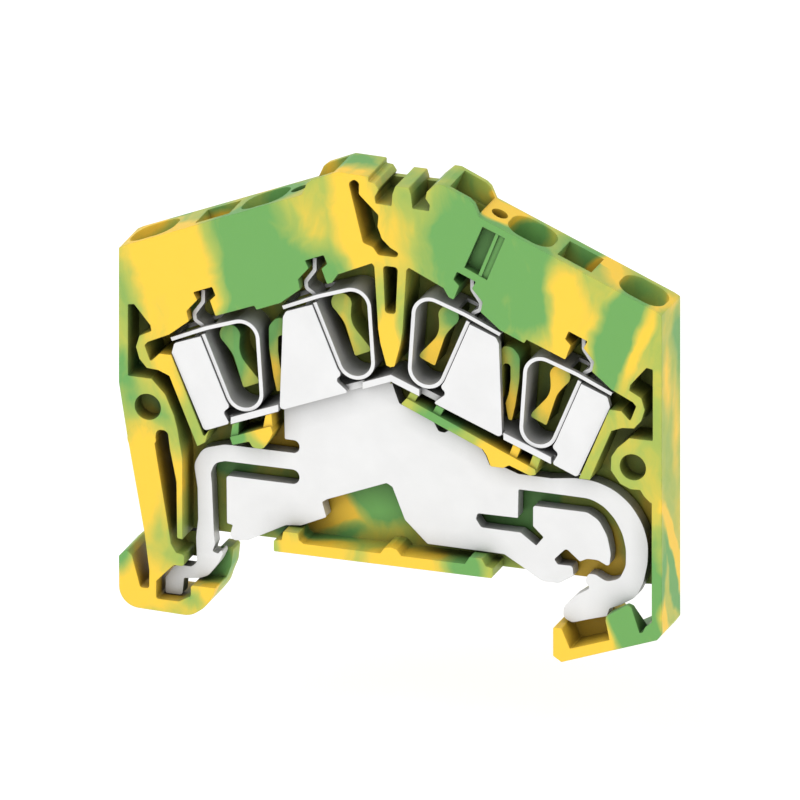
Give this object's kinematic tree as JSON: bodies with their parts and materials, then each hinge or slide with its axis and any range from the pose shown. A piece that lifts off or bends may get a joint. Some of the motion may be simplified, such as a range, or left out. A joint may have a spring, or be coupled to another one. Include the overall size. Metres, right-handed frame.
{
  "type": "din rail terminal block",
  "caption": "Protective earth terminal block with yellow and green marbled housing, cage clamps, sloped wire entries and a spring foot that snaps onto a 35 mm rail.",
  "frame": {"origin": "centre line of the mounting rail at the height of the rail's flange top face, half way through the block's thickness", "axes": "+X across the rail towards the fixed foot, +Y along the rail towards the closed back wall, +Z out of the rail towards the wire entries"},
  "size_m": [0.0518, 0.0052, 0.0446],
  "materials": {
    "marbled_plastic": "moulded polyamide, yellow and green marbled",
    "tinned_metal": "tin plated, satin",
    "spring_steel": "bright stainless spring strip"
  },
  "bodies": {
    "block": {"housing": "marbled_plastic", "current_bar": "tinned_metal", "earth_plate": "tinned_metal", "conductor_guide_1": "tinned_metal", "conductor_guide_2": "tinned_metal", "conductor_guide_3": "tinned_metal", "conductor_guide_4": "tinned_metal", "clamp_leg_1": "spring_steel", "clamp_leg_2": "spring_steel", "clamp_leg_3": "spring_steel", "clamp_leg_4": "spring_steel", "clamp_loop_1": "spring_steel", "clamp_loop_2": "spring_steel", "clamp_loop_3": "spring_steel", "clamp_loop_4": "spring_steel"},
    "foot": {"release_foot": "marbled_plastic", "earth_leg": "tinned_metal"},
    "rail_spring": {"earth_arm": "tinned_metal"},
    "tongue_1": {"clamp_tongue_1": "spring_steel"},
    "tongue_2": {"clamp_tongue_2": "spring_steel"},
    "tongue_3": {"clamp_tongue_3": "spring_steel"},
    "tongue_4": {"clamp_tongue_4": "spring_steel"}
  },
  "joints": [
    {"name": "foot_flex", "type": "hinge", "parent": "block", "child": "foot", "pos_m": [-0.0243, 0, 0.00926], "axis": [0, 1, 0], "range_deg": [0, 4], "stiffness_Nm_per_rad": 2},
    {"name": "rail_spring_flex", "type": "hinge", "parent": "block", "child": "rail_spring", "pos_m": [0.01445, -0.00055, 0.00911], "axis": [0, -1, 0], "range_deg": [0, 2], "stiffness_Nm_per_rad": 2.4},
    {"name": "clamp_1_open", "type": "slide", "parent": "block", "child": "tongue_1", "axis": [-0.9239, 0, -0.3827], "range_m": [0, 0.001], "stiffness_N_per_m": 5000},
    {"name": "clamp_2_open", "type": "slide", "parent": "block", "child": "tongue_2", "axis": [-0.9239, 0, -0.3827], "range_m": [0, 0.001], "stiffness_N_per_m": 5000},
    {"name": "clamp_3_open", "type": "slide", "parent": "block", "child": "tongue_3", "axis": [0.9239, 0, -0.3827], "range_m": [0, 0.001], "stiffness_N_per_m": 5000},
    {"name": "clamp_4_open", "type": "slide", "parent": "block", "child": "tongue_4", "axis": [0.9239, 0, -0.3827], "range_m": [0, 0.001], "stiffness_N_per_m": 5000}
  ]
}
